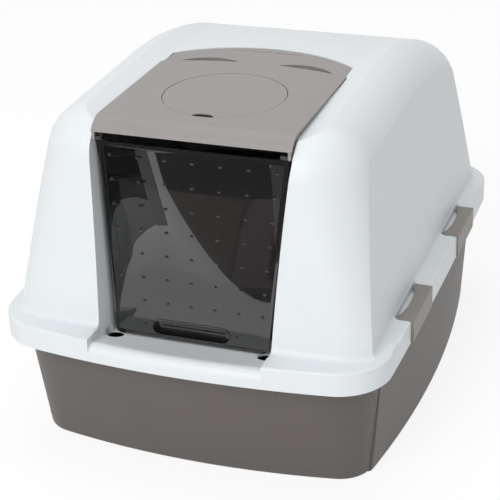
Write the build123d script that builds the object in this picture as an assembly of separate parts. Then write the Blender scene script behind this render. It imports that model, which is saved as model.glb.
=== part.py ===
from build123d import *
from math import asin, cos, radians, sin, sqrt
import os

# Covered litter box: pan, hood, lifting front cover, swing flap, filter lid and side clips.
# Millimetres. X runs to the right, Y to the rear, Z up. The origin is the bottom centre.

# Hood rim: the flange and skirt that sit over the pan
rim_length = 585.0
rim_width = 440.0
rim_top = 158.0
skirt_drop = 26.0
hood_wall = 2.8
rim_bow_front = 20.0
rim_bow_rear = 10.0
rim_bow_side = 4.0
rim_corner = 58.0
rim_edge_radius = 2.5
wall_foot_radius = 7.0
rim_front = -rim_length / 2

# Hood walls: a drafted form under an arched crown, with one flat face on each side
flange_side = 20.0
flange_front = 30.5
flange_rear = 26.5
form_foot_z = 140.0
form_head_z = 430.0
corner_proud = 19.0
corner_draft = 56.2
front_draft = 51.0
rear_draft = 44.0
form_foot_corner = 50.0
form_head_corner = 70.0
form_bow_front = 10.0
form_bow_rear = 10.0
form_bow_side = 1.0
crown_z = 384.0
crown_y = 20.0
crown_radius = 500.0
crown_edge_radius = 56.0
crown_front_fall = 14.0
side_lean = 0.123
side_foot_half = rim_width / 2 - flange_side
form_foot_half = side_foot_half + corner_proud
form_head_half = form_foot_half - corner_draft
form_foot_front = rim_front + flange_front
form_head_front = form_foot_front + front_draft
form_foot_rear = rim_length / 2 - flange_rear
form_head_rear = form_foot_rear - rear_draft

# Channel between the shoulders, and the panel that fills its front
channel_half = 110.2
channel_depth = 7.0
channel_radius = 630.0
shoulder_half = 136.0
cover_gap = 0.8
seat_gap = 0.3
channel_z = crown_z - channel_depth

# Front cover, with a bowed rear edge against the carry handle
cover_thickness = 3.0
cover_set_back = 73.0
cover_bend = 29.0
cover_lip_z = 364.0
cover_rear_middle = -5.0
cover_rear_side = -23.0
cover_rear_gap = 1.4
hinge_barrel = 6.0
hinge_inset = 15.0
cover_pin_diameter = 5.0
cover_pin_length = 18.0
pin_running_gap = 0.08
ledge_width = 6.2
cover_front = rim_front + cover_set_back
cover_bend_y = cover_front + cover_bend
cover_bend_z = channel_z - cover_bend
cover_seat_z = channel_z - cover_thickness - seat_gap
hinge_y = cover_rear_side - hinge_inset
hinge_z = channel_z - hinge_barrel

# Doorway: a slot with sloping jambs, wider in front than at the flap
door_depth_rear = 89.5
door_depth_front = 25.5
door_foot_z = 150.0
door_head_z = 350.0
door_foot_half = 88.8
door_flare = 9.7
jamb_wall = 2.6
jamb_foot_z = 136.0
door_y_rear = rim_front + door_depth_rear
door_y_front = rim_front + door_depth_front

# Swing flap
flap_hinge_inset = 8.0
flap_axis_z = 357.0
flap_setback = 6.5
flap_lean = 8.3
flap_top = 5.0
flap_length = 215.3
flap_top_half = 104.8
flap_foot_half = 87.0
flap_sheet = 2.0
flap_rim_width = 2.6
flap_rim_depth = 4.0
flap_corner = 7.0
flap_barrel = 2.8
flap_barrel_length = 7.2
flap_arm = 6.0
flap_pin_diameter = 3.0
ear_gap = 0.8
ear_thickness = 3.0
grip_width = 90.0
grip_height = 18.5
grip_depth = 6.5
grip_wall = 1.6
grip_rise = 2.8
grip_ribs = 3
grip_rib_width = 1.2
grip_rib_height = 1.5
flap_axis_y = cover_front + flap_hinge_inset

# Sill: a rolled front edge and a trough that follows the flap's swing
sill_half = 97.0
sill_roll = 11.0
sill_turn = 8.0
sill_gap = 2.2
notch_radius = 10.0
notch_x = 86.5
notch_depth = 51.5
notch_top = 150.0

# Filter
lid_radius = 67.0
lid_set_back = 81.0
lid_gap = 0.6
lid_thickness = 3.0
lid_edge_radius = 0.6
lid_notch_width = 24.0
lid_notch_depth = 8.0
lid_notch_floor = 1.0
seat_width = 9.1
seat_thickness = 2.0
tray_radius = 57.6
tray_wall = 1.8
tray_depth = 18.0
tray_flange = 1.6
slot_width = 5.0
slot_pitch = 11.0
pad_thickness = 12.0
pad_gap = 0.6
lid_y = cover_bend_y + lid_set_back

# Carry handle over its pocket
handle_half = 108.0
handle_tip_y = 8.0
handle_back_y = 50.0
handle_top = 375.5
handle_height = 14.0
handle_gap = 0.4
finger_start = 18.0
finger_middle = 62.0
finger_end = 94.0
finger_reach = 4.5
pocket_floor = 347.0
pocket_front_top = 360.0
groove_half = 40.0
groove_y = 37.0
groove_width = 1.4
groove_depth = 0.6
post_x = 80.0
post_y = 13.0
post_radius = 5.0
screw_radius = 1.6
screw_head_radius = 3.2
screw_head_height = 2.0
screw_length = 16.0

# Pan, with a bowed panel on each side that stands a little proud of the corners
pan_height = 146.0
pan_wall = 3.0
pan_gap_side = 7.5
pan_gap_front = 11.5
pan_draft_side = 1.0
pan_draft_front = 28.5
pan_draft_rear = 19.0
pan_foot_corner = 38.0
pan_head_corner = 66.0
pan_bow_front = 19.5
pan_bow_rear = 12.0
pan_foot_bow = 22.0
pan_head_bow = 12.0
pan_panel_inset = 40.5
pan_foot_step = 2.5
pan_head_step = 0.8
pan_edge_radius = 4.5
pan_lip_width = 3.0
pan_lip_height = 5.0
rest_rib = 2.8
pan_head_half = rim_width / 2 - pan_gap_side
pan_foot_half = pan_head_half - pan_draft_side
pan_head_front = rim_front + pan_gap_front
pan_foot_front = pan_head_front + pan_draft_front
pan_head_rear = -pan_head_front
pan_foot_rear = pan_head_rear - pan_draft_rear
pan_panel_half = -pan_foot_front - pan_panel_inset

# Side clips
clip_length = 85.0
clip_front_y = -110.0
clip_rear_y = 105.0
clip_axis_inset = 3.6
clip_barrel = 2.1
clip_plate = 2.8
clip_proud = 1.6
clip_waist = 3.5
clip_drop = 25.0
clip_edge_radius = 1.2
clip_rib_length = 51.0
clip_rib_height = 7.0
clip_rib_rise = 1.5
clip_rib_gap = 0.5
clip_gap = 0.5
clip_pin_diameter = 2.4
clip_pin_length = 8.0
clip_pin_gap = 0.05
clip_floor = 2.0
clip_recess_edge = 0.2
clip_axis_x = side_foot_half + clip_axis_inset
clip_axis_z = rim_top - clip_barrel
clip_outer = rim_width / 2 + clip_proud

# How far a body reaches into what it is joined to, and how far a cut runs past what it cuts
root = 1.0
far = 400.0
side = (-1, 1)


def outline(half, front, rear, bows, corner, z):
    """A closed plan outline with bowed ends and round corners, as a face at height z."""
    bow_front, bow_rear, bow_side = bows
    end = half - bow_side
    middle = (front + rear) / 2
    left_front = (-end, front + bow_front)
    right_front = (end, front + bow_front)
    right_rear = (end, rear - bow_rear)
    left_rear = (-end, rear - bow_rear)
    border = Wire([
        ThreePointArc(left_front, (0, front), right_front),
        ThreePointArc(right_front, (half, middle), right_rear),
        ThreePointArc(right_rear, (0, rear), left_rear),
        ThreePointArc(left_rear, (-half, middle), left_front),
    ])
    face = Face(border)
    face = face.fillet_2d(corner, face.vertices())
    return Pos(0, 0, z) * face


def block(x0, x1, y0, y1, z0, z1):
    """A box between two corners."""
    return Pos((x0 + x1) / 2, (y0 + y1) / 2, (z0 + z1) / 2) * Box(x1 - x0, y1 - y0, z1 - z0)


def span(s, x0, x1, y0, y1, z0, z1):
    """A box given for the right side, mirrored where s is -1."""
    low, high = sorted((s * x0, s * x1))
    return block(low, high, y0, y1, z0, z1)


def rod(x0, x1, y, z, radius):
    """A round bar along X."""
    return Pos((x0 + x1) / 2, y, z) * Rot(0, 90, 0) * Cylinder(radius, abs(x1 - x0))


def upright(x, y, z0, z1, radius):
    """A round bar along Z."""
    return Pos(x, y, (z0 + z1) / 2) * Cylinder(radius, z1 - z0)


def side_view(edges, x):
    """A face drawn in Y and Z, on the plane at x."""
    return Plane(origin=(x, 0, 0), x_dir=(0, 1, 0), z_dir=(1, 0, 0)) * Face(Wire(edges))


def rim_outline(inset, z):
    """The rim's plan, moved in by inset."""
    bows = (rim_bow_front, rim_bow_rear, rim_bow_side)
    return outline(rim_width / 2 - inset, rim_front + inset, -rim_front - inset, bows, rim_corner - inset, z)


def crown_line(drop, radius):
    """An arched line over the hood in side view: its front end, crest, arc middle and rear end."""
    crest = crown_z - drop
    rear = -rim_front + root
    half_turn = asin((rear - crown_y) / radius) / 2
    rear_z = crest - radius * (1 - cos(2 * half_turn))
    middle = (crown_y + radius * sin(half_turn), crest - radius * (1 - cos(half_turn)))
    return (-far, crest - crown_front_fall), (crown_y, crest), middle, (rear, rear_z)


def under_line(line, level, x):
    """The side-view region between an arched line and a level, on the plane at x."""
    front, crest, middle, rear = line
    return side_view([
        Line(front, crest),
        ThreePointArc(crest, middle, rear),
        Line(rear, (far, rear[1])),
        Line((far, rear[1]), (far, level)),
        Line((far, level), (-far, level)),
        Line((-far, level), front),
    ], x)


def channel(drop):
    """What is cut away between the shoulders, with its floor lowered by drop."""
    sky = crown_z + crown_edge_radius
    floor = crown_line(drop + channel_depth, channel_radius - drop)
    shoulder = crown_line(drop - root / 4, crown_radius - drop)
    cut = extrude(under_line(floor, sky, -channel_half), 2 * channel_half, dir=(1, 0, 0))
    for s in side:
        low = under_line(floor, sky, s * channel_half)
        high = under_line(shoulder, sky, s * shoulder_half)
        cut += loft([low, high], ruled=True)
    return cut


def hood_form(inset):
    """The hood's walls and crown as a solid, with every face moved in by inset."""
    bows = (form_bow_front, form_bow_rear, form_bow_side)
    foot = outline(form_foot_half - inset, form_foot_front + inset, form_foot_rear - inset,
                   bows, form_foot_corner - inset, form_foot_z)
    head = outline(form_head_half - inset, form_head_front + inset, form_head_rear - inset,
                   bows, form_head_corner - inset, form_head_z)
    body = loft([foot, head], ruled=True)
    crown = crown_line(inset, crown_radius - inset)
    body = body & extrude(under_line(crown, 0, -far), 2 * far, dir=(1, 0, 0))
    crown_edges = [e for e in body.edges() if e.bounding_box().min.Z > (form_foot_z + crown_z) / 2]
    body = body.fillet(crown_edge_radius - inset, crown_edges)
    body = body - channel(inset)
    foot_x = side_foot_half - inset + rim_top * side_lean
    head_x = side_foot_half - inset - (form_head_z - rim_top) * side_lean
    flank = Polyline((-foot_x, 0), (foot_x, 0), (head_x, form_head_z), (-head_x, form_head_z), close=True)
    flank = Plane.XZ * Face(Wire(flank.edges()))
    return body & extrude(flank, far, both=True)


def door_trapezoid(y, grow, flare, z0, z1):
    """The doorway's section at one depth, between two heights."""
    def half(z):
        t = (z - door_foot_z) / (door_head_z - door_foot_z)
        foot = door_foot_half + flare
        return foot + (channel_half - foot) * t + grow
    points = [(-half(z0), z0), (half(z0), z0), (half(z1), z1), (-half(z1), z1)]
    face = Face(Wire(Polyline(*points, close=True).edges()))
    return Plane(origin=(0, y, 0), x_dir=(1, 0, 0), z_dir=(0, -1, 0)) * face


def doorway(grow, z0, z1):
    """The doorway as a solid, widened by grow."""
    rear = door_trapezoid(door_y_rear, grow, 0, z0, z1)
    front = door_trapezoid(door_y_front, grow, door_flare, z0, z1)
    return loft([rear, front], ruled=True)


def bow_centre():
    """The centre in Y of the arc that the rim's front edge follows."""
    chord = rim_width / 2 - rim_bow_side
    return rim_front + (chord**2 + rim_bow_front**2) / (2 * rim_bow_front)


def swing_radius():
    """How far the flap's lowest corner is from its axis."""
    return sqrt(flap_length**2 + (flap_setback + flap_rim_depth / 2) ** 2)


def sill_solid(inset):
    """The sill, turned about the centre of the front bow, with its faces moved in by inset."""
    front = rim_front + inset
    roll = sill_roll - inset
    trough = swing_radius() + sill_gap + inset
    centre_y = rim_front + sill_roll
    reach = trough + roll
    centre_z = flap_axis_z - sqrt(reach**2 - (flap_axis_y - centre_y) ** 2)
    top = (centre_y + (flap_axis_y - centre_y) * roll / reach, centre_z + (flap_axis_z - centre_z) * roll / reach)
    turn = radians(45)
    middle = (centre_y - roll * cos(turn), centre_z + roll * sin(turn))
    rear = door_y_rear - root - inset
    floor = sill_trough(rear, trough)
    low = skirt_drop
    profile = side_view([
        Line((front, low), (front, centre_z)),
        ThreePointArc((front, centre_z), middle, top),
        ThreePointArc(top, sill_trough((top[0] + rear) / 2, trough), floor),
        Line(floor, (rear, low)),
        Line((rear, low), (front, low)),
    ], 0)
    axis = Axis((0, bow_centre(), 0), (0, 0, 1))
    return revolve(profile.rotate(axis, -sill_turn), axis, 2 * sill_turn)


def sill_trough(y, radius):
    """The point of the trough at y."""
    return (y, flap_axis_z - sqrt(radius**2 - (y - flap_axis_y) ** 2))


def cover_arc(grow):
    """The circle that the front cover's rear edge follows, with its radius grown."""
    half = channel_half - cover_gap
    rise = cover_rear_middle - cover_rear_side
    radius = (half**2 + rise**2) / (2 * rise)
    return Pos(0, cover_rear_middle - radius) * Circle(radius + grow)


def crescent(grow, front_gap):
    """The plan of the carry handle: arcs behind and in front, and short straight ends."""
    rise = handle_back_y - handle_tip_y
    radius = (handle_half**2 + rise**2) / (2 * rise)
    back = Pos(0, handle_back_y - radius) * Circle(radius + grow)
    ends = Rectangle(2 * (handle_half + grow), far)
    return (back & ends) - cover_arc(front_gap)


def clip_places():
    """Each clip's name, side and centre in Y."""
    for y, row in ((clip_front_y, "front"), (clip_rear_y, "rear")):
        for s, hand in ((1, "right"), (-1, "left")):
            yield f"{row}_{hand}", s, y


def rest_ring():
    """The rib under the flange that rests on the pan's lip, open behind the sill."""
    height = rim_top - hood_wall - pan_height + root / 2
    middle = pan_wall / 2 - pan_lip_width / 2
    ring = pan_form(middle - rest_rib / 2) - pan_form(middle + rest_rib / 2)
    ring = ring & block(-far, far, -far, far, pan_height - height, pan_height)
    return Pos(0, 0, height) * ring - block(-sill_half, sill_half, -far, door_y_rear, 0, crown_z)


def pillars():
    """Jambs beside the doorway, webs beside the front cover and the ledges that carry it."""
    edge = channel_half + hood_wall
    under = cover_seat_z - hood_wall
    webs = doorway(jamb_wall, jamb_foot_z, door_head_z)
    webs -= doorway(0, jamb_foot_z - root, door_head_z + root)
    for s in side:
        webs += span(s, channel_half, edge, -far, cover_bend_y + root, door_head_z - root, crown_z)
        webs += span(s, channel_half, edge, cover_bend_y, handle_tip_y, under, crown_z)
        webs += span(s, channel_half - ledge_width, edge - root / 2, cover_bend_y - root,
                     hinge_y - 2 * hinge_barrel, under, cover_seat_z)
        boss = rod(s * channel_half, s * (channel_half + cover_pin_boss()), hinge_y, hinge_z, hinge_barrel + root)
        webs += boss & block(-far, far, -far, far, 0, channel_z - root)
    return webs & hood_form(hood_wall / 2)


def cover_pin_boss():
    """How far a cover pin reaches into the hood, with its end wall."""
    return cover_pin_length / 2 - cover_gap + root / 5


def clip_pocket(s, y):
    """The walls of one clip's recess, and what the recess cuts away."""
    half = clip_length / 2 + clip_gap
    floor_z = rim_top - 2 * clip_barrel - seat_gap
    inner = side_foot_half - hood_wall
    pocket_x = rim_width / 2 - hood_wall - clip_gap
    sky = rim_top + wall_foot_radius + root
    walls = span(s, inner, pocket_x, y - half - hood_wall, y + half + hood_wall, floor_z - clip_floor, rim_top)
    cut = span(s, side_foot_half + clip_recess_edge, rim_width, y - half, y + half, floor_z, sky)
    cut += span(s, pocket_x, rim_width, y - half, y + half, 0, sky)
    cut += span(s, pocket_x - rim_bow_side / 2, rim_width, y - half, y + half, 0, floor_z - clip_floor)
    for e in side:
        hole = Cylinder(clip_pin_diameter / 2 + clip_pin_gap, clip_pin_length + root)
        cut += Pos(s * clip_axis_x, y + e * half, clip_axis_z) * Rot(90, 0, 0) * hole
    return walls, cut


def handle_pocket():
    """The pocket under the carry handle and the space inside it."""
    under = pocket_floor - hood_wall
    walls = extrude(Pos(0, 0, under) * crescent(hood_wall, cover_rear_gap), channel_z - root - under, dir=(0, 0, 1))
    space = extrude(Pos(0, 0, pocket_floor) * crescent(0, cover_rear_gap + hood_wall), crown_z - pocket_floor,
                    dir=(0, 0, 1))
    space += extrude(Pos(0, 0, pocket_front_top) * crescent(0, 0), crown_z - pocket_front_top, dir=(0, 0, 1))
    for s in side:
        space += upright(s * post_x, post_y, under - root, pocket_floor + root, screw_radius + cover_gap / 5)
    return walls, space


def make_hood():
    flange_under = rim_top - hood_wall
    skirt_foot = rim_top - skirt_drop
    outer = extrude(rim_outline(0, skirt_foot), skirt_drop, dir=(0, 0, 1)) + hood_form(0)
    inside = rim_outline(rim_bow_side, rim_top)
    level = [e for e in outer.edges() if max(abs((e @ t).Z - rim_top) for t in (0, 0.5)) < 0.01]
    outer = outer.fillet(wall_foot_radius, [e for e in level if inside.is_inside(e @ 0.5)])
    level = [e for e in outer.edges() if max(abs((e @ t).Z - rim_top) for t in (0, 0.5)) < 0.01]
    outer = outer.fillet(rim_edge_radius, [e for e in level if not inside.is_inside(e @ 0.5)])
    cavity = extrude(rim_outline(hood_wall, 0), flange_under, dir=(0, 0, 1))
    hood = outer - cavity - hood_form(hood_wall)
    # Openings: the sill's place, the doorway and the front cover with its hinge
    hood -= block(-sill_half, sill_half, -far, door_y_rear, 0, rim_top + wall_foot_radius)
    hood -= doorway(0, rim_top - root, door_head_z + root)
    rear_edge = cover_arc(cover_rear_gap)
    ledge_half = channel_half - ledge_width
    for half, y0, y1, z0 in (
        (channel_half, -far, handle_tip_y, cover_seat_z),
        (channel_half, -far, cover_bend_y, door_head_z),
        (ledge_half, -far, handle_tip_y, door_head_z),
        (channel_half, hinge_y - 2 * hinge_barrel, handle_tip_y, door_head_z),
    ):
        place = rear_edge & Pos(0, (y0 + y1) / 2) * Rectangle(2 * half, y1 - y0)
        hood -= extrude(Pos(0, 0, z0) * place, crown_z, dir=(0, 0, 1))
    # Jambs, webs, ledges, the rest rib, the sill with a web at each end and the handle's pocket
    hood += pillars()
    hood += rest_ring()
    sill = sill_solid(0) - sill_solid(hood_wall)
    sill_end = sill_half + hood_wall / 2
    hood += sill & block(-sill_end, sill_end, -far, 0, skirt_foot, rim_top)
    web = extrude(rim_outline(hood_wall / 2, 0), flange_under + hood_wall / 2, dir=(0, 0, 1))
    behind = door_y_rear - hood_wall
    for s in side:
        deep = span(s, sill_half, sill_half + hood_wall, -far, behind, pan_height + cover_gap, rim_top)
        deep += span(s, sill_half, sill_half + hood_wall, pan_head_front + 4 * pan_wall, behind, jamb_foot_z, rim_top)
        hood += web & deep
    pocket_walls, pocket_space = handle_pocket()
    hood += pocket_walls & hood_form(hood_wall / 2)
    hood -= pocket_space
    for s in side:
        hood -= upright(s * notch_x, rim_front + notch_depth, jamb_foot_z - sill_roll, notch_top, notch_radius)
        hood -= rod(s * (channel_half - root), s * (channel_half + cover_pin_boss() + root), hinge_y, hinge_z,
                    cover_pin_diameter / 2 + pin_running_gap)
    for name, s, y in clip_places():
        walls, cut = clip_pocket(s, y)
        hood = hood + walls - cut
    return hood


def pan_body(foot_step, head_step, inset, edge_radius):
    """The pan's drafted form, with its sides moved in by the steps and every side by inset."""
    foot = outline(pan_foot_half - foot_step - inset, pan_foot_front + inset, pan_foot_rear - inset,
                   (pan_bow_front, pan_bow_rear, pan_foot_bow), pan_foot_corner - inset, 0)
    head = outline(pan_head_half - head_step - inset, pan_head_front + inset, pan_head_rear - inset,
                   (pan_bow_front, pan_bow_rear, pan_head_bow), pan_head_corner - inset, pan_height)
    body = loft([foot, head], ruled=True)
    if edge_radius:
        body = body.fillet(edge_radius, [e for e in body.edges() if e.bounding_box().max.Z < 0.01])
    return body


def pan_form(inset, edge_radius=0):
    """The pan's body and side panels as a solid, with every side moved in by inset."""
    core = pan_body(pan_foot_step, pan_head_step, inset, edge_radius)
    reach = pan_panel_half - inset
    return core + (pan_body(0, 0, inset, edge_radius) & block(-far, far, -reach, reach, 0, pan_height))


def make_pan():
    body = pan_form(0, pan_edge_radius)
    lip = pan_form(-pan_lip_width) & block(-far, far, -far, far, pan_height - pan_lip_height, pan_height)
    inner = Pos(0, 0, pan_wall) * pan_form(pan_wall, pan_edge_radius)
    opening = pan_form(pan_wall) & block(-far, far, -far, far, pan_height - 2 * pan_lip_height, pan_height)
    return body + lip - inner - opening


def on_bend(radius, turn):
    """A point on the front cover's bend, turned up from level about the bend's centre."""
    return (cover_bend_y - radius * cos(turn), cover_bend_z + radius * sin(turn))


def make_front_cover():
    inner = cover_bend - cover_thickness
    lip = asin((cover_lip_z - cover_bend_z) / cover_bend)
    lip_in = asin((cover_lip_z - cover_bend_z) / inner)
    upright_turn = radians(90)
    half = channel_half - cover_gap
    rear = cover_rear_middle
    cover = extrude(side_view([
        Line((rear, channel_z), (cover_bend_y, channel_z)),
        ThreePointArc((cover_bend_y, channel_z), on_bend(cover_bend, (upright_turn + lip) / 2),
                      on_bend(cover_bend, lip)),
        Line(on_bend(cover_bend, lip), on_bend(inner, lip_in)),
        ThreePointArc(on_bend(inner, lip_in), on_bend(inner, (upright_turn + lip_in) / 2),
                      (cover_bend_y, channel_z - cover_thickness)),
        Line((cover_bend_y, channel_z - cover_thickness), (rear, channel_z - cover_thickness)),
        Line((rear, channel_z - cover_thickness), (rear, channel_z)),
    ], -half), 2 * half, dir=(1, 0, 0))
    cover = cover & extrude(cover_arc(0), far, dir=(0, 0, 1))
    cover += rod(-half, half, hinge_y, hinge_z, hinge_barrel)
    hole = lid_radius + lid_gap
    seat_top = channel_z - cover_thickness - seat_gap - tray_flange
    cover += upright(0, lid_y, seat_top - seat_thickness, channel_z - root, hole + hood_wall)
    cover -= upright(0, lid_y, seat_top, crown_z, hole)
    cover -= upright(0, lid_y, door_head_z, crown_z, hole - seat_width)
    below = extrude(cover_underside(), 2 * far, dir=(1, 0, 0))
    for s in side:
        x = flap_top_half + ear_gap
        ear = rod(s * x, s * (x + ear_thickness), flap_axis_y, flap_axis_z, flap_barrel + ear_gap / 2)
        ear += span(s, x, x + ear_thickness, flap_axis_y - flap_barrel, flap_axis_y + 4 * flap_barrel,
                    flap_axis_z, channel_z - root)
        cover += ear & below
        cover -= rod(s * (x - root), s * (x + ear_thickness + root), flap_axis_y, flap_axis_z, flap_pin_diameter / 2)
        cover -= rod(s * (half - cover_pin_length / 2 - root), s * (half + root), hinge_y, hinge_z,
                     cover_pin_diameter / 2)
    return cover


def cover_underside():
    """All that lies under the front cover's outer face, as a side view."""
    return side_view([
        Line((0, channel_z), (cover_bend_y, channel_z)),
        ThreePointArc((cover_bend_y, channel_z), on_bend(cover_bend, radians(45)), on_bend(cover_bend, 0)),
        Line(on_bend(cover_bend, 0), (cover_front, 0)),
        Line((cover_front, 0), (0, 0)),
        Line((0, 0), (0, channel_z)),
    ], -far)


def make_filter_lid():
    lid = upright(0, lid_y, channel_z - lid_thickness, channel_z, lid_radius)
    lid = lid.fillet(lid_edge_radius, lid.edges().group_by(Axis.Z)[-1])
    notch = Pos(0, lid_y - lid_radius, channel_z) * SlotOverall(lid_notch_width, 2 * lid_notch_depth)
    return lid - extrude(notch, lid_thickness - lid_notch_floor, dir=(0, 0, -1))


def seat_z():
    """The seat ring's top, which carries the filter tray's flange."""
    return channel_z - cover_thickness - seat_gap - tray_flange


def make_filter_tray():
    foot = seat_z() + tray_flange - tray_depth
    tray = upright(0, lid_y, foot, seat_z() + tray_flange, tray_radius)
    tray += upright(0, lid_y, seat_z(), seat_z() + tray_flange, lid_radius - root)
    tray -= upright(0, lid_y, foot + tray_wall, crown_z, tray_radius - tray_wall)
    rows = int((tray_radius - tray_wall - slot_width) // slot_pitch)
    for row in range(-rows, rows + 1):
        y = row * slot_pitch
        reach = 2 * sqrt((tray_radius - 3 * tray_wall) ** 2 - (abs(y) + slot_width / 2) ** 2)
        slot = Pos(0, lid_y + y, foot - root) * SlotOverall(reach, slot_width)
        tray -= extrude(slot, tray_wall + 2 * root, dir=(0, 0, 1))
    return tray


def make_filter_pad():
    foot = seat_z() + tray_flange - tray_depth + tray_wall + seat_gap
    return upright(0, lid_y, foot, foot + pad_thickness, tray_radius - tray_wall - pad_gap)


def hang(piece):
    """Put a piece modelled about the flap's axis at its place, at the angle at which it hangs."""
    return Pos(0, flap_axis_y, flap_axis_z) * Rot(-flap_lean, 0, 0) * piece


def flap_outline(inset):
    """The flap's outline in front view, measured from its axis."""
    top_half = flap_top_half - inset
    foot_half = flap_foot_half - inset
    face = Face(Wire(Polyline(
        (-top_half, -flap_top - inset), (top_half, -flap_top - inset),
        (foot_half, -flap_length + inset), (-foot_half, -flap_length + inset), close=True).edges()))
    return face.fillet_2d(flap_corner - inset, face.vertices().group_by(Axis.Y)[0])


def flap_layer(face, y0, thickness):
    """A face drawn in front view, made a layer that starts at y0."""
    return extrude(Plane(origin=(0, y0, 0), x_dir=(1, 0, 0), z_dir=(0, -1, 0)) * face, thickness, dir=(0, 1, 0))


def make_door_flap():
    face_y = flap_setback - flap_sheet / 2
    rim_y = flap_setback - flap_rim_depth / 2
    flap = flap_layer(flap_outline(0), rim_y, flap_rim_depth)
    flap -= flap_layer(flap_outline(flap_rim_width), rim_y, (flap_rim_depth - flap_sheet) / 2)
    flap -= flap_layer(flap_outline(flap_rim_width), face_y + flap_sheet, flap_rim_depth)
    grip_z = -flap_length + grip_rise + grip_height / 2
    back = grip_depth + flap_sheet
    outer = Rot(90, 0, 0) * SlotOverall(grip_width, grip_height)
    inner = Rot(90, 0, 0) * SlotOverall(grip_width - 2 * grip_wall, grip_height - 2 * grip_wall)
    flap += extrude(Pos(0, face_y, grip_z) * outer, back, dir=(0, 1, 0))
    flap -= extrude(Pos(0, face_y - root, grip_z) * inner, back - grip_wall + root, dir=(0, 1, 0))
    floor_y = face_y + back - grip_wall
    pitch = (grip_height - 2 * grip_wall) / (grip_ribs + 1)
    rib_half = (grip_width - grip_height) / 2
    for rib in range(grip_ribs):
        z = grip_z + (rib - (grip_ribs - 1) / 2) * pitch
        flap += block(-rib_half, rib_half, floor_y - grip_rib_height, floor_y + grip_wall / 4,
                      z - grip_rib_width / 2, z + grip_rib_width / 2)
    for s in side:
        inner_x = flap_top_half - flap_barrel_length
        arm = rod(s * inner_x, s * flap_top_half, 0, 0, flap_barrel)
        arm += span(s, inner_x, flap_top_half, 0, rim_y + flap_rim_depth, -flap_barrel, 0)
        arm += span(s, inner_x, flap_top_half, rim_y, rim_y + flap_rim_depth, -flap_top - flap_arm, 0)
        flap += arm
        flap -= rod(s * (inner_x - root), s * (flap_top_half + root), 0, 0, flap_pin_diameter / 2 + pin_running_gap)
    return hang(flap)


def make_flap_pin(s):
    inner = flap_top_half - flap_barrel_length
    outer = flap_top_half + ear_gap + ear_thickness
    return rod(s * inner, s * outer, flap_axis_y, flap_axis_z, flap_pin_diameter / 2)


def make_cover_pin(s):
    half = channel_half - cover_gap
    reach = cover_pin_length / 2
    return rod(s * (half - reach), s * (half + reach), hinge_y, hinge_z, cover_pin_diameter / 2)


def cover_edge_y(x):
    """Where the front cover's rear edge is, at x."""
    half = channel_half - cover_gap
    rise = cover_rear_middle - cover_rear_side
    radius = (half**2 + rise**2) / (2 * rise)
    return cover_rear_middle - radius + sqrt(radius**2 - x**2)


def make_carry_handle():
    foot = handle_top - handle_height
    bar = extrude(Pos(0, 0, foot) * crescent(-handle_gap, cover_rear_gap + handle_gap / 2), handle_height,
                  dir=(0, 0, 1))
    for s in side:
        near = (s * finger_start, cover_edge_y(finger_start))
        out = (s * finger_end, cover_edge_y(finger_end))
        opening = Face(Wire([ThreePointArc(near, (s * finger_middle, finger_reach), out), Line(out, near)]))
        bar -= extrude(Pos(0, 0, foot - root) * opening, handle_height + 2 * root, dir=(0, 0, 1))
        bar += upright(s * post_x, post_y, pocket_floor, foot + root, post_radius)
        bar -= upright(s * post_x, post_y, pocket_floor - root, pocket_floor + screw_length - 2 * root, screw_radius)
    groove = block(-groove_half, groove_half, groove_y, groove_y + groove_width, handle_top - groove_depth, crown_z)
    return bar - groove


def make_handle_screws():
    screws = []
    under = pocket_floor - hood_wall
    for s in side:
        head = upright(s * post_x, post_y, under - screw_head_height, under, screw_head_radius)
        shank = upright(s * post_x, post_y, under - root, under + screw_length - root, screw_radius)
        screws.append(head + shank)
    return Compound(screws)


def make_clip(s, y):
    half = clip_length / 2
    plate = Pos((clip_axis_x + clip_outer) / 2, 0) * Rectangle(clip_outer - clip_axis_x, clip_length)
    waist = Pos(clip_axis_x - clip_barrel, 0) * Ellipse(clip_waist + clip_barrel, half - 3 * clip_waist)
    body = extrude(Pos(0, 0, rim_top - clip_plate) * plate, clip_plate, dir=(0, 0, 1))
    body += Pos(clip_axis_x, 0, clip_axis_z) * Rot(90, 0, 0) * Cylinder(clip_barrel, clip_length)
    body -= extrude(Pos(0, 0, rim_top - 3 * clip_barrel) * waist, 4 * clip_barrel, dir=(0, 0, 1))
    body += block(clip_outer - clip_plate, clip_outer, -half, half, rim_top - clip_drop, rim_top)
    rib_x = pan_head_half + pan_lip_width + clip_rib_gap
    rib_foot = rim_top - clip_drop + clip_rib_rise
    body += block(rib_x, clip_outer - clip_plate / 2, -clip_rib_length / 2, clip_rib_length / 2,
                  rib_foot, rib_foot + clip_rib_height)
    edge = [e for e in body.edges() if abs((e @ 0.5).X - clip_outer) < 0.01 and abs((e @ 0.5).Z - rim_top) < 0.01]
    body = body.fillet(clip_edge_radius, edge)
    for e in side:
        bore = Cylinder(clip_pin_diameter / 2, clip_pin_length)
        body -= Pos(clip_axis_x, e * half, clip_axis_z) * Rot(90, 0, 0) * bore
    if s < 0:
        body = mirror(body, Plane.YZ)
    return Pos(0, y, 0) * body


def make_clip_pins(s, y):
    pins = []
    for e in side:
        pin = Rot(90, 0, 0) * Cylinder(clip_pin_diameter / 2, clip_pin_length)
        pins.append(Pos(s * clip_axis_x, y + e * clip_length / 2, clip_axis_z) * pin)
    return Compound(pins)


def save(piece, name):
    if isinstance(piece, ShapeList):
        piece = Compound(piece)
    export_step(piece, f"parts/{name}.step")


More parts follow.
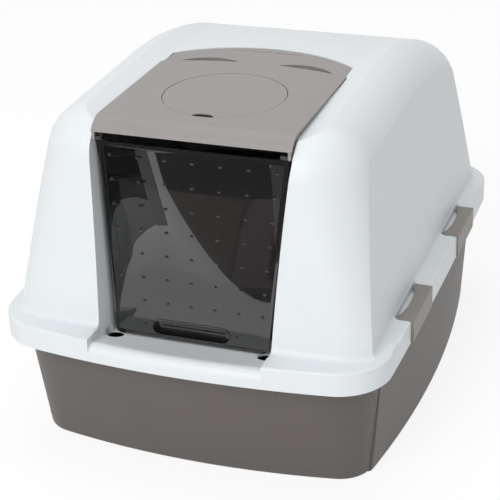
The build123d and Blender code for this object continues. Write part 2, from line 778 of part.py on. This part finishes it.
os.makedirs("parts", exist_ok=True)
save(make_pan(), "pan")
save(make_hood(), "hood")
save(make_front_cover(), "front_cover")
save(make_filter_lid(), "filter_lid")
save(make_filter_tray(), "filter_tray")
save(make_filter_pad(), "filter_pad")
save(make_door_flap(), "door_flap")
save(make_carry_handle(), "carry_handle")
save(make_handle_screws(), "handle_screws")
for s, hand in ((-1, "left"), (1, "right")):
    save(make_flap_pin(s), f"flap_pin_{hand}")
    save(make_cover_pin(s), f"cover_pin_{hand}")
for name, s, y in clip_places():
    save(make_clip(s, y), f"clip_{name}")
    save(make_clip_pins(s, y), f"clip_pins_{name}")
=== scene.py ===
import bpy
import bmesh
from math import cos, pi, radians, sin
from mathutils import Matrix, Vector


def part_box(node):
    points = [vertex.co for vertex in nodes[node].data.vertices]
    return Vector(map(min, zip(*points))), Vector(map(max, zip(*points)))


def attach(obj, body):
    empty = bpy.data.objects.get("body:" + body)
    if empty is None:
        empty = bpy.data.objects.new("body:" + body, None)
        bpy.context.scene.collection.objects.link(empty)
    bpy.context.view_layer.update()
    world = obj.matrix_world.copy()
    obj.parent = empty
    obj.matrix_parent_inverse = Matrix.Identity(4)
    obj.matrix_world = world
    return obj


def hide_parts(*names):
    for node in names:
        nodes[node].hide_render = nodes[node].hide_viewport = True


# The covered litter box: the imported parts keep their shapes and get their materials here, while the swing flap,
# the felt pad and the screws are modelled in more detail than their solids.

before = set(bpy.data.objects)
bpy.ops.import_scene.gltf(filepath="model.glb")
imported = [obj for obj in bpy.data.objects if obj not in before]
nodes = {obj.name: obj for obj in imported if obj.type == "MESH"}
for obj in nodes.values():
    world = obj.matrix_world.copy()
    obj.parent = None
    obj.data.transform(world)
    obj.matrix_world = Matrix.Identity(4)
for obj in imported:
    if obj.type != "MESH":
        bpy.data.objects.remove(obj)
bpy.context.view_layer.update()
scene = bpy.context.scene
ops = bpy.ops

# Edges that turn more than this are rounded. Cutting pieces reach this far past large and small shapes.
SHARP_EDGE = radians(40)
CUTTER = 0.01
OVERRUN = 0.001

# Swing flap, in metres from its axis, with its lean at rest
AXIS = Vector((0.0, -0.2115, 0.357))
LEAN = radians(8.3)
TOP = 0.005
LENGTH = 0.2153
TOP_HALF = 0.1048
FOOT_HALF = 0.087
CORNER = 0.007
SETBACK = 0.0065
SHEET = 0.002
RIM_WIDTH = 0.0026
RIM_DEPTH = 0.004
EDGE_ROUND = 0.0003

# Grip pocket near the flap's foot
GRIP_RISE = 0.0028
GRIP_WIDTH = 0.090
GRIP_HEIGHT = 0.0185
GRIP_DEPTH = 0.0065
GRIP_WALL = 0.0016
GRIP_LIP = 0.0009
RIB_RISE = 0.0015
RIB_HALF = 0.0006

# Hinge barrels, the arms that carry them, and the bore for the pins
BARREL = 0.0028
BARREL_LENGTH = 0.0072
LEG_LENGTH = 0.011
LEG_GAP = 0.0001
PIN_BORE = 0.00158

# Rows of dimples, from the top one down
DIMPLE_RADIUS = 0.0021
DIMPLE_RISE = 0.0007
DIMPLE_SINK = 0.00005
DIMPLE_TOP = 0.0185
DIMPLE_PITCH = 0.0262
DIMPLE_HALF = 0.0925
DIMPLE_TAPER = 0.0021
DIMPLE_ROWS = 8
DIMPLE_COLUMNS = 7
GRIP_CLEARANCE = 0.048

# Felt pad
PAD_EDGE = 0.003
PAD_VOXEL = 0.0016
PAD_CROWN = 0.0006
PAD_SINK = 0.0003
PAD_WAVE = 0.00025
PAD_TURNS = (310, 270)

# Pan-head screws, with the half width and half length of a recess arm
HEAD_RADIUS = 0.0032
HEAD_HEIGHT = 0.002
HEAD_ROUND = 0.0009
SHANK_RADIUS = 0.0016
SHANK_START = 0.0015
RECESS = (0.00035, 0.0017)
RECESS_DEPTH = 0.0011


def deselect():
    """Leave nothing selected, out of edit mode."""
    if bpy.context.object and bpy.context.object.mode != "OBJECT":
        ops.object.mode_set(mode="OBJECT")
    ops.object.select_all(action="DESELECT")


def select(*pieces):
    """Select these pieces alone, the first one active."""
    deselect()
    for piece in pieces:
        piece.select_set(True)
    bpy.context.view_layer.objects.active = pieces[0]


def settle(piece):
    """Put a piece's place into its mesh."""
    select(piece)
    ops.object.transform_apply(location=True, rotation=True, scale=True)


def modify(piece, kind, **values):
    """Add a modifier and apply it."""
    select(piece)
    modifier = piece.modifiers.new(kind.title(), kind)
    for key, value in values.items():
        setattr(modifier, key, value)
    ops.object.modifier_apply(modifier=modifier.name)


def soften(piece, width, segments):
    """Round a piece's sharp edges."""
    modify(piece, "BEVEL", width=width, segments=segments, limit_method="ANGLE", angle_limit=SHARP_EDGE)


def cube(name, low, high):
    """A box between two corners."""
    deselect()
    low, high = Vector(low), Vector(high)
    ops.mesh.primitive_cube_add(size=1, location=(low + high) / 2)
    piece = bpy.context.object
    piece.name = name
    piece.scale = high - low
    settle(piece)
    return piece


def rod(name, start, end, radius, sides):
    """A round bar between two points."""
    deselect()
    start, end = Vector(start), Vector(end)
    ops.mesh.primitive_cylinder_add(vertices=sides, radius=radius, depth=(end - start).length,
                                    location=(start + end) / 2)
    piece = bpy.context.object
    piece.name = name
    piece.rotation_euler = (end - start).to_track_quat("Z", "Y").to_euler()
    settle(piece)
    return piece


def prism(name, outline, y0, y1):
    """A plate whose outline is drawn in X and Z, between two depths."""
    mesh = bpy.data.meshes.new(name)
    shape = bmesh.new()
    shape.faces.new([shape.verts.new((x, y0, z)) for x, z in outline])
    shape.to_mesh(mesh)
    shape.free()
    piece = bpy.data.objects.new(name, mesh)
    scene.collection.objects.link(piece)
    select(piece)
    ops.object.mode_set(mode="EDIT")
    ops.mesh.select_all(action="SELECT")
    ops.mesh.extrude_region_move(TRANSFORM_OT_translate={"value": (0, y1 - y0, 0)})
    ops.mesh.select_all(action="SELECT")
    ops.mesh.normals_make_consistent(inside=False)
    ops.object.mode_set(mode="OBJECT")
    return piece


def combine(piece, other, operation):
    """Join another piece to this one, or cut it away, and remove the other."""
    modify(piece, "BOOLEAN", object=other, operation=operation, solver="EXACT")
    bpy.data.objects.remove(other)


def smooth(piece, angle):
    """Shade a piece smooth up to an angle between faces."""
    select(piece)
    ops.object.shade_smooth_by_angle(angle=radians(angle))


def rounded(points, radius, steps=8):
    """A closed outline with its corners rounded; a corner's own radius may be 0."""
    outline = []
    count = len(points)
    for i, (x, z) in enumerate(points):
        here = Vector((x, z))
        before = (Vector(points[i - 1]) - here).normalized()
        after = (Vector(points[(i + 1) % count]) - here).normalized()
        turn = radius[i]
        if turn == 0:
            outline.append((x, z))
            continue
        half = before.angle(after) / 2
        centre = here + (before + after).normalized() * turn / sin(half)
        reach = turn / sin(half) * cos(half)
        start = here + before * reach - centre
        end = here + after * reach - centre
        for k in range(steps + 1):
            part = start.lerp(end, k / steps).normalized() * turn
            outline.append(tuple(centre + part))
    return outline


def flap_outline(inset):
    """The flap's outline, measured from its axis."""
    top, foot = TOP_HALF - inset, FOOT_HALF - inset
    high, low = -TOP - inset, -LENGTH + inset
    turn = CORNER - inset
    return rounded([(-top, high), (top, high), (foot, low), (-foot, low)], (0, 0, turn, turn))


def slot_outline(width, height, middle, inset=0.0, steps=20):
    """A slot with round ends, about a height on the flap."""
    radius = height / 2 - inset
    straight = width / 2 - height / 2
    outline = []
    for side in (1, -1):
        for k in range(steps + 1):
            turn = pi * k / steps - pi / 2
            outline.append((side * (straight + radius * cos(turn)), middle + side * radius * sin(turn)))
    return outline


def hang(piece):
    """Put a piece made about the flap's axis at its place, at the angle at which it hangs."""
    piece.data.transform(Matrix.Translation(AXIS) @ Matrix.Rotation(-LEAN, 4, "X"))
    return piece


def make_flap():
    """The clear flap: a thin sheet in a raised rim, a grip pocket with ribs, and hinge barrels."""
    face = SETBACK - SHEET / 2
    rim = SETBACK - RIM_DEPTH / 2
    flap = prism("swing_flap", flap_outline(0), rim, rim + RIM_DEPTH)
    inner = flap_outline(RIM_WIDTH)
    combine(flap, prism("front_well", inner, rim - CUTTER, face), "DIFFERENCE")
    combine(flap, prism("rear_well", inner, face + SHEET, rim + RIM_DEPTH + CUTTER), "DIFFERENCE")

    middle = -LENGTH + GRIP_RISE + GRIP_HEIGHT / 2
    back = face + GRIP_DEPTH + SHEET
    raised = face - GRIP_LIP
    combine(flap, prism("grip_wall", slot_outline(GRIP_WIDTH, GRIP_HEIGHT, middle), raised, back), "UNION")
    well = slot_outline(GRIP_WIDTH, GRIP_HEIGHT, middle, GRIP_WALL)
    combine(flap, prism("grip_well", well, raised - CUTTER, back - GRIP_WALL), "DIFFERENCE")
    for rib in range(3):
        z = middle + (rib - 1) * (GRIP_HEIGHT - 2 * GRIP_WALL) / 4
        reach = (GRIP_WIDTH - GRIP_HEIGHT) / 2
        combine(flap, cube("rib", (-reach, back - GRIP_WALL - RIB_RISE, z - RIB_HALF),
                           (reach, back - GRIP_WALL / 2, z + RIB_HALF)), "UNION")

    for side in (-1, 1):
        inner_x, outer_x = side * (TOP_HALF - BARREL_LENGTH), side * TOP_HALF
        low, high = sorted((inner_x, outer_x))
        combine(flap, rod("barrel", (inner_x, 0, 0), (outer_x, 0, 0), BARREL, 40), "UNION")
        combine(flap, cube("arm", (low, 0, -BARREL), (high, rim + RIM_DEPTH, 0)), "UNION")
        combine(flap, cube("leg", (low, rim, -LEG_LENGTH), (high, rim + RIM_DEPTH, -LEG_GAP)), "UNION")
        start = (inner_x - side * OVERRUN, 0, 0)
        end = (outer_x + side * OVERRUN, 0, 0)
        combine(flap, rod("bore", start, end, PIN_BORE, 24), "DIFFERENCE")
    soften(flap, EDGE_ROUND, 2)
    smooth(flap, 50)
    modify(flap, "WEIGHTED_NORMAL", mode="FACE_AREA", weight=100)
    return hang(flap)


def make_dimples():
    """Rows of small round bosses on the flap's face, one shape copied to every place."""
    face = SETBACK - SHEET / 2
    deselect()
    ops.mesh.primitive_uv_sphere_add(segments=20, ring_count=10, radius=DIMPLE_RADIUS, location=(0, 0, 0))
    boss = bpy.context.object
    boss.name = "dimple"
    ops.object.mode_set(mode="EDIT")
    ops.mesh.select_all(action="SELECT")
    ops.mesh.bisect(plane_co=(0, 0, 0), plane_no=(0, 1, 0), clear_outer=True, use_fill=True)
    ops.object.mode_set(mode="OBJECT")
    boss.scale = (1, DIMPLE_RISE / DIMPLE_RADIUS, 1)
    settle(boss)
    # The last two rows are shorter, and the lowest one leaves room for the grip
    short_rows = {6: range(1, 7), 7: range(1, 6)}
    copies = []
    for row in range(DIMPLE_ROWS):
        z = -DIMPLE_TOP - row * DIMPLE_PITCH
        half = DIMPLE_HALF - row * DIMPLE_TAPER
        for column in short_rows.get(row, range(DIMPLE_COLUMNS)):
            x = -half + column * half / 3
            if row == DIMPLE_ROWS - 1 and abs(x) < GRIP_CLEARANCE:
                continue
            copy = boss.copy()
            copy.data = boss.data.copy()
            copy.data.transform(Matrix.Translation((x, face + DIMPLE_SINK, z)))
            scene.collection.objects.link(copy)
            copies.append(copy)
    bpy.data.objects.remove(boss)
    select(*copies)
    ops.object.join()
    dimples = bpy.context.object
    dimples.name = "flap_dimples"
    smooth(dimples, 60)
    return hang(dimples)


def make_pad():
    """The felt pad: a soft-edged disc with a slightly crowned, uneven face."""
    low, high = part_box("filter_pad")
    centre = (low + high) / 2
    radius = (high.x - low.x) / 2
    thick = high.z - low.z
    deselect()
    ops.mesh.primitive_cylinder_add(vertices=96, radius=radius, depth=thick, location=centre)
    pad = bpy.context.object
    pad.name = "carbon_pad"
    settle(pad)
    soften(pad, PAD_EDGE, 5)
    modify(pad, "REMESH", mode="VOXEL", voxel_size=PAD_VOXEL)
    for point in pad.data.vertices:
        away = (Vector((point.co.x, point.co.y)) - Vector((centre.x, centre.y))).length / radius
        rise = (point.co.z - centre.z) / (thick / 2)
        wave = PAD_WAVE * sin(point.co.x * PAD_TURNS[0]) * cos(point.co.y * PAD_TURNS[1])
        point.co.z -= rise * (PAD_CROWN * away ** 2 + PAD_SINK) - wave * max(0.0, 1 - away)
    smooth(pad, 60)
    return pad


def make_screws():
    """Two pan-head screws with a cross recess, heads down under the handle's pocket."""
    low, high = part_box("handle_screws")
    screws = []
    for side in (-1, 1):
        x = side * (high.x - HEAD_RADIUS)
        y = (low.y + high.y) / 2
        head = rod("screw", (x, y, low.z), (x, y, low.z + HEAD_HEIGHT), HEAD_RADIUS, 40)
        soften(head, HEAD_ROUND, 4)
        combine(head, rod("shank", (x, y, low.z + SHANK_START), (x, y, high.z), SHANK_RADIUS, 24), "UNION")
        for deep, wide in (RECESS, RECESS[::-1]):
            combine(head, cube("recess", (x - wide, y - deep, low.z - OVERRUN),
                               (x + wide, y + deep, low.z + RECESS_DEPTH)), "DIFFERENCE")
        screws.append(head)
    select(*screws)
    ops.object.join()
    pair = bpy.context.object
    pair.name = "handle_screw_pair"
    smooth(pair, 40)
    return pair


def colour(code):
    """A linear colour from an sRGB hex value."""
    values = []
    for i in (0, 2, 4):
        value = int(code[i:i + 2], 16) / 255
        values.append(value / 12.92 if value <= 0.04045 else ((value + 0.055) / 1.055) ** 2.4)
    return (*values, 1.0)


def node(tree, kind, settings=None, links=None, **sockets):
    """Add a node, set its own settings and its sockets, and link its inputs."""
    made = tree.nodes.new(kind)
    for key, value in (settings or {}).items():
        setattr(made, key, value)
    for key, value in sockets.items():
        made.inputs[key.replace("_", " ")].default_value = value
    for key, source in (links or {}).items():
        tree.links.new(source, made.inputs[key])
    return made


def material(name):
    """A new material, its tree and its shader."""
    made = bpy.data.materials.new(name)
    made.use_nodes = True
    tree = made.node_tree
    return made, tree, tree.nodes["Principled BSDF"]


def moulded(name, base, shade, rough, grain_mm, grain_depth, mottle_mm=60):
    """A moulded plastic: its colour drifts a little over a large scale, and a fine grain breaks its gloss."""
    made, tree, shader = material(name)
    place = node(tree, "ShaderNodeTexCoord").outputs["Object"]
    drift = node(tree, "ShaderNodeTexNoise", None, {"Vector": place}, Scale=1000 / mottle_mm, Detail=3.0)
    mix = node(tree, "ShaderNodeMix", {"data_type": "RGBA"}, {"Factor": drift.outputs["Fac"]})
    mix.inputs["A"].default_value = colour(base)
    mix.inputs["B"].default_value = colour(shade)
    grain = node(tree, "ShaderNodeTexNoise", None, {"Vector": place}, Scale=1000 / grain_mm, Detail=2.0)
    gloss = node(tree, "ShaderNodeMapRange", None, {"Value": grain.outputs["Fac"]})
    gloss.inputs["To Min"].default_value = rough - 0.06
    gloss.inputs["To Max"].default_value = rough + 0.06
    relief = node(tree, "ShaderNodeBump", None, {"Height": grain.outputs["Fac"]},
                  Strength=grain_depth, Distance=0.0002)
    tree.links.new(mix.outputs["Result"], shader.inputs["Base Color"])
    tree.links.new(gloss.outputs["Result"], shader.inputs["Roughness"])
    tree.links.new(relief.outputs["Normal"], shader.inputs["Normal"])
    shader.inputs["IOR"].default_value = 1.5
    return made


def painted_gap_shade(made, level, dark):
    """Darken a moulding below a height with painted shade, which draws its gap and notch as shadowed lines."""
    tree = made.node_tree
    shader = tree.nodes["Principled BSDF"]
    place = node(tree, "ShaderNodeTexCoord").outputs["Object"]
    height = node(tree, "ShaderNodeSeparateXYZ", None, {"Vector": place}).outputs["Z"]
    low = node(tree, "ShaderNodeMapRange", None, {"Value": height})
    low.inputs["From Min"].default_value = level - 0.0004
    low.inputs["From Max"].default_value = level
    # Below the level, the plastic's colour gives way to a painted shade colour
    mix = node(tree, "ShaderNodeMix", {"data_type": "RGBA"}, {"Factor": low.outputs["Result"]})
    mix.inputs["A"].default_value = colour(dark)
    tree.links.new(shader.inputs["Base Color"].links[0].from_socket, mix.inputs["B"])
    tree.links.new(mix.outputs["Result"], shader.inputs["Base Color"])
    return made


def smoky_clear():
    """Smoke-tinted clear styrene, moulded and polished: the inside shows dimly through a sharp, even gloss."""
    made, tree, shader = material("smoke_tinted_clear_styrene")
    place = node(tree, "ShaderNodeTexCoord").outputs["Object"]
    # Moulding waves about 70 mm long, so shallow that they only bend the reflections a little
    wave = node(tree, "ShaderNodeTexNoise", None, {"Vector": place}, Scale=14.0, Detail=0.0)
    relief = node(tree, "ShaderNodeBump", None, {"Height": wave.outputs["Fac"]}, Strength=0.02, Distance=0.0003)
    tree.links.new(relief.outputs["Normal"], shader.inputs["Normal"])
    shader.inputs["Base Color"].default_value = colour("4A4644")
    shader.inputs["Roughness"].default_value = 0.03
    shader.inputs["IOR"].default_value = 1.59
    shader.inputs["Transmission Weight"].default_value = 1.0
    shader.inputs["Coat Weight"].default_value = 1.0
    shader.inputs["Coat Roughness"].default_value = 0.03
    return made


def carbon_felt():
    """Needled carbon felt: a black fibre mat with a dull sheen and a fine fuzzy relief."""
    made, tree, shader = material("carbon_filter_felt")
    place = node(tree, "ShaderNodeTexCoord").outputs["Object"]
    # Single fibres are too fine to show, so clumps of about 0.7 mm are drawn
    fibre = node(tree, "ShaderNodeTexNoise", None, {"Vector": place}, Scale=1400.0, Detail=6.0, Distortion=1.5)
    ramp = node(tree, "ShaderNodeMix", {"data_type": "RGBA"}, {"Factor": fibre.outputs["Fac"]})
    ramp.inputs["A"].default_value = colour("141414")
    ramp.inputs["B"].default_value = colour("3A3A3C")
    relief = node(tree, "ShaderNodeBump", None, {"Height": fibre.outputs["Fac"]}, Strength=0.7, Distance=0.0006)
    tree.links.new(ramp.outputs["Result"], shader.inputs["Base Color"])
    tree.links.new(relief.outputs["Normal"], shader.inputs["Normal"])
    shader.inputs["Roughness"].default_value = 0.95
    shader.inputs["Sheen Weight"].default_value = 0.3
    return made


def drawn_steel():
    """Zinc-plated drawn steel: bright metal, its gloss broken by fine marks along the wire."""
    made, tree, shader = material("zinc_plated_steel")
    place = node(tree, "ShaderNodeTexCoord").outputs["Object"]
    # Marks about 3 mm long and 0.4 mm apart, coarser than real drawing marks so that they show
    lines = node(tree, "ShaderNodeMapping", None, {"Vector": place})
    lines.inputs["Scale"].default_value = (1.0, 9.0, 9.0)
    marks = node(tree, "ShaderNodeTexNoise", None, {"Vector": lines.outputs["Vector"]}, Scale=300.0, Detail=2.0)
    gloss = node(tree, "ShaderNodeMapRange", None, {"Value": marks.outputs["Fac"]})
    gloss.inputs["To Min"].default_value = 0.22
    gloss.inputs["To Max"].default_value = 0.42
    tree.links.new(gloss.outputs["Result"], shader.inputs["Roughness"])
    shader.inputs["Base Color"].default_value = colour("C6C8CA")
    shader.inputs["Metallic"].default_value = 1.0
    return made


def dress(piece, finish):
    """Give every slot of a piece this material."""
    if not piece.data.materials:
        piece.data.materials.append(finish)
    for i in range(len(piece.data.materials)):
        piece.data.materials[i] = finish


# Materials. The grain of the mouldings is drawn at 0.6 to 0.8 mm, coarser than real mould grain, so that it shows.

# White polypropylene, injection moulded: a cool white with broad soft highlights
white_shell = moulded("white_polypropylene", base="E4E8EA", shade="DFE4E7", rough=0.42, grain_mm=0.7,
                      grain_depth=0.10)
# Dark grey polypropylene from a grained mould: nearly matt, so that the pan stays even over its large sides
pan_shell = moulded("dark_grey_polypropylene", base="605A57", shade="5A5553", rough=0.50, grain_mm=0.8,
                    grain_depth=0.18)
# Warm grey polypropylene: satin, with a soft sheen across the top panel and the handle
cover_shell = moulded("warm_grey_polypropylene", base="959190", shade="908C8A", rough=0.46, grain_mm=0.7,
                      grain_depth=0.14)
# The same plastic for the lid, with painted shade below its top face so that its gap and finger notch read as dark
# lines
LID_SHADE_DEPTH = 0.0008
lid_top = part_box("filter_lid")[1].z
lid_shell = painted_gap_shade(moulded("warm_grey_polypropylene_lid", base="959190", shade="908C8A", rough=0.46,
                                grain_mm=0.7, grain_depth=0.14),
                        lid_top - LID_SHADE_DEPTH, "2B2928")
# Mid grey polypropylene: the small clips are darker than the top panel and as satin
clip_shell = moulded("grey_clip_polypropylene", base="8B8580", shade="847E7A", rough=0.46, grain_mm=0.6,
                     grain_depth=0.14, mottle_mm=25)
# Black polypropylene: a plain, dull moulding that is only seen with the lid off
tray_shell = moulded("black_polypropylene", base="2A2929", shade="242323", rough=0.55, grain_mm=0.7,
                     grain_depth=0.20)
clear = smoky_clear()
felt = carbon_felt()
steel = drawn_steel()

finishes = {"hood": white_shell, "pan": pan_shell, "front_cover": cover_shell, "filter_lid": lid_shell,
            "carry_handle": cover_shell, "filter_tray": tray_shell}
for name, piece in nodes.items():
    if name in finishes:
        dress(piece, finishes[name])
    elif name.startswith("clip_pins") or "_pin_" in name:
        dress(piece, steel)
    elif name.startswith("clip_"):
        dress(piece, clip_shell)

flap = make_flap()
dimples = make_dimples()
for piece in (flap, dimples):
    dress(piece, clear)
    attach(piece, "flap_body")
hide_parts("door_flap")

pad = make_pad()
dress(pad, felt)
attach(pad, "cover_body")
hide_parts("filter_pad")

screws = make_screws()
dress(screws, steel)
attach(screws, "hood_body")
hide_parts("handle_screws")


# Floor, backdrop, lights and camera
FLOOR_SIZE = 12
GROUND_SHARE = 0.8
GROUND_STRENGTH = 1.05
SKY_LIGHT = 0.44
WHITE = (1, 1, 1, 1)

# The camera that was fitted to the photograph
EYE = (0.5390, -1.4756, 0.9173)
FORWARD = (-0.31700, 0.83849, -0.44323)
RIGHT = (0.94033, 0.33880, -0.03160)
LENS = 105.03


def seen_rays(tree, share):
    """This share for camera, glossy and transmission rays, and 0 for the rays that carry light."""
    path = node(tree, "ShaderNodeLightPath")
    total = node(tree, "ShaderNodeMath", {"operation": "MAXIMUM"})
    tree.links.new(path.outputs["Is Camera Ray"], total.inputs[0])
    tree.links.new(path.outputs["Is Glossy Ray"], total.inputs[1])
    both = node(tree, "ShaderNodeMath", {"operation": "MAXIMUM"})
    tree.links.new(total.outputs["Value"], both.inputs[0])
    tree.links.new(path.outputs["Is Transmission Ray"], both.inputs[1])
    part = node(tree, "ShaderNodeMath", {"operation": "MULTIPLY"})
    tree.links.new(both.outputs["Value"], part.inputs[0])
    part.inputs[1].default_value = share
    return part.outputs["Value"]


def mixed_surface(tree, share, first, second):
    """Make the surface of a material a mix of two shaders."""
    mix = node(tree, "ShaderNodeMixShader", None, {"Fac": share})
    tree.links.new(first, mix.inputs[1])
    tree.links.new(second, mix.inputs[2])
    out = next(n for n in tree.nodes if n.type == "OUTPUT_MATERIAL")
    tree.links.new(mix.outputs["Shader"], out.inputs["Surface"])


def make_floor():
    """A pale matt ground, which the camera and clear or glossy surfaces see as almost white."""
    deselect()
    ops.mesh.primitive_plane_add(size=FLOOR_SIZE, location=(0, 0, 0))
    floor = bpy.context.object
    floor.name = "floor"
    made, tree, shader = material("white_studio_floor")
    shader.inputs["Base Color"].default_value = colour("F4F4F4")
    shader.inputs["Roughness"].default_value = 0.9
    glow = node(tree, "ShaderNodeEmission", Strength=GROUND_STRENGTH, Color=WHITE)
    mixed_surface(tree, seen_rays(tree, GROUND_SHARE), shader.outputs["BSDF"], glow.outputs["Emission"])
    dress(floor, made)


def make_sky():
    """A plain world that lights softly and is seen as white."""
    world = bpy.data.worlds.new("studio")
    scene.world = world
    world.use_nodes = True
    tree = world.node_tree
    soft = tree.nodes["Background"]
    soft.inputs["Color"].default_value = WHITE
    soft.inputs["Strength"].default_value = SKY_LIGHT
    seen = node(tree, "ShaderNodeBackground", Strength=1.0, Color=WHITE)
    swap = node(tree, "ShaderNodeMixShader", None, {"Fac": seen_rays(tree, 1.0)})
    tree.links.new(soft.outputs["Background"], swap.inputs[1])
    tree.links.new(seen.outputs["Background"], swap.inputs[2])
    tree.links.new(swap.outputs["Shader"], tree.nodes["World Output"].inputs["Surface"])


def lamp(name, place, target, size, power):
    """A soft square lamp that faces a point."""
    light = bpy.data.lights.new(name, "AREA")
    light.size = size
    light.energy = power
    piece = bpy.data.objects.new(name, light)
    piece.location = place
    piece.rotation_euler = (Vector(target) - Vector(place)).to_track_quat("-Z", "Y").to_euler()
    scene.collection.objects.link(piece)


def make_card():
    """A grey studio card in front of the object, seen only in reflections, so that the flap is dark at its top."""
    deselect()
    ops.mesh.primitive_plane_add(size=1, location=(-0.4, -1.41, 0.9), rotation=(pi / 2, 0, 0))
    card = bpy.context.object
    card.name = "studio_card"
    card.scale = (5.0, 1.8, 1.0)
    settle(card)
    made, tree, shader = material("grey_studio_card")
    shader.inputs["Base Color"].default_value = colour("8A8785")
    shader.inputs["Roughness"].default_value = 1.0
    unseen = node(tree, "ShaderNodeBsdfTransparent")
    path = node(tree, "ShaderNodeLightPath")
    mixed_surface(tree, path.outputs["Is Glossy Ray"], unseen.outputs["BSDF"], shader.outputs["BSDF"])
    dress(card, made)


def make_camera():
    """The camera, at the photograph's place and angle."""
    camera = bpy.data.cameras.new("camera")
    camera.sensor_width = 36
    camera.lens = LENS
    eye = bpy.data.objects.new("camera", camera)
    forward = Vector(FORWARD).normalized()
    right = Vector(RIGHT).normalized()
    up = right.cross(forward).normalized()
    eye.matrix_world = Matrix.Translation(EYE) @ Matrix((right, up, -forward)).transposed().to_4x4()
    scene.collection.objects.link(eye)
    scene.camera = eye


make_floor()
make_sky()
lamp("key", (-0.45, -2.7, 2.1), (0, 0, 0.2), size=1.8, power=54)
lamp("fill", (1.6, -2.4, 0.9), (0, 0, 0.15), size=1.6, power=5)
lamp("top", (-0.2, 0.6, 2.8), (0, 0, 0.3), size=2.0, power=20)
make_card()
make_camera()
scene.view_settings.view_transform = "Standard"

bpy.context.view_layer.update()
